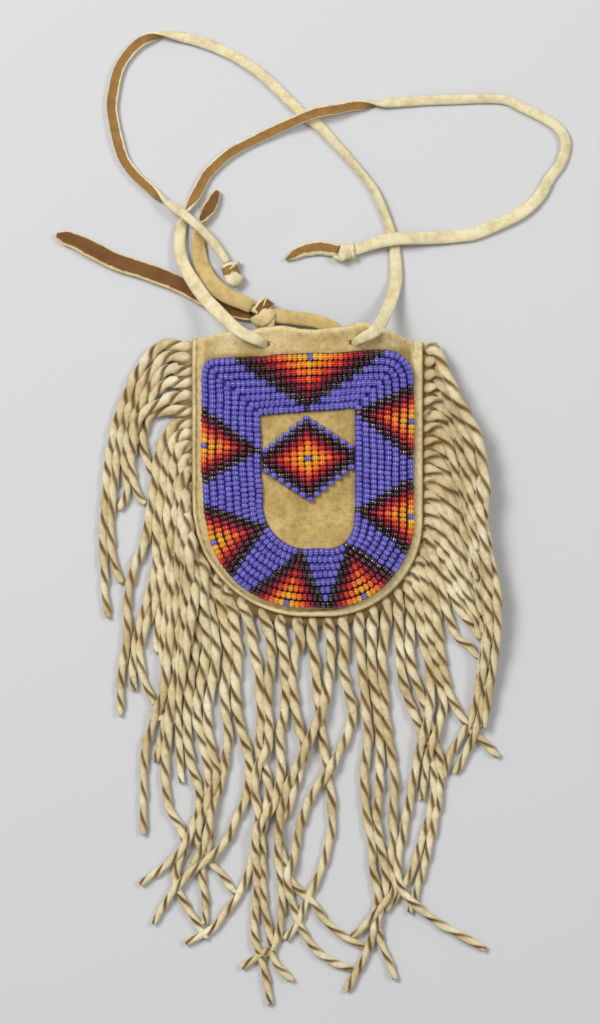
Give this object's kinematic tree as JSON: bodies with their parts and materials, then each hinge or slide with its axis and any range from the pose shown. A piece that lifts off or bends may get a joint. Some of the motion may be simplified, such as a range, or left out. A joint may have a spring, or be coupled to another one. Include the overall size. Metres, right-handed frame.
{
  "type": "beaded medicine bag",
  "caption": "Small buckskin pouch with a beaded front, a long twisted leather fringe round its sides and bottom, and knotted leather thongs, lying on its back.",
  "frame": {"origin": "the middle of the flat back face, under the centre of the beadwork's outline", "axes": "+X to the right of the beaded front, +Y from the fringe to the mouth, +Z out of the beaded front"},
  "size_m": [0.1574, 0.2964, 0.0171],
  "materials": {
    "tan_buckskin": "matte napped smoked buckskin",
    "pale_buckskin": "matte pale buckskin",
    "brown_suede": "matte brown suede",
    "blue_beads": "glossy opaque blue seed beads",
    "dark_beads": "metallic grey and dark brown seed beads",
    "red_beads": "glossy dark red and red seed beads",
    "gold_beads": "glossy orange and yellow seed beads"
  },
  "bodies": {
    "root": {"back_panel": "tan_buckskin", "back_thong_knot": "tan_buckskin", "back_thong_long_end": "brown_suede", "back_thong_loop": "tan_buckskin", "back_thong_short_end": "tan_buckskin", "bottom_left_blue_bead": "blue_beads", "bottom_left_dark_beads": "dark_beads", "bottom_left_gold_beads": "gold_beads", "bottom_left_red_beads": "red_beads", "bottom_right_blue_bead": "blue_beads", "bottom_right_dark_beads": "dark_beads", "bottom_right_gold_beads": "gold_beads", "bottom_right_red_beads": "red_beads", "diamond_centre_bead": "blue_beads", "diamond_dark_beads": "dark_beads", "diamond_gold_beads": "gold_beads", "diamond_lower_edging": "blue_beads", "diamond_red_beads": "red_beads", "diamond_upper_edging": "blue_beads", "fringed_welt": "pale_buckskin", "front_panel": "tan_buckskin", "front_thong": "pale_buckskin", "front_thong_left_knot": "pale_buckskin", "front_thong_right_knot": "pale_buckskin", "ground_bottom_left_to_bottom_right": "blue_beads", "ground_bottom_right_to_right_lower": "blue_beads", "ground_left_lower_to_bottom_left": "blue_beads", "ground_left_upper_to_left_lower": "blue_beads", "ground_right_lower_to_right_upper": "blue_beads", "ground_right_upper_to_top": "blue_beads", "ground_top_to_left_upper": "blue_beads", "left_lower_blue_bead": "blue_beads", "left_lower_dark_beads": "dark_beads", "left_lower_gold_beads": "gold_beads", "left_lower_red_beads": "red_beads", "left_upper_blue_bead": "blue_beads", "left_upper_dark_beads": "dark_beads", "left_upper_gold_beads": "gold_beads", "left_upper_red_beads": "red_beads", "right_lower_blue_bead": "blue_beads", "right_lower_dark_beads": "dark_beads", "right_lower_gold_beads": "gold_beads", "right_lower_red_beads": "red_beads", "right_upper_blue_bead": "blue_beads", "right_upper_dark_beads": "dark_beads", "right_upper_gold_beads": "gold_beads", "right_upper_red_beads": "red_beads", "top_blue_bead": "blue_beads", "top_dark_beads": "dark_beads", "top_gold_beads": "gold_beads", "top_red_beads": "red_beads"}
  },
  "joints": []
}
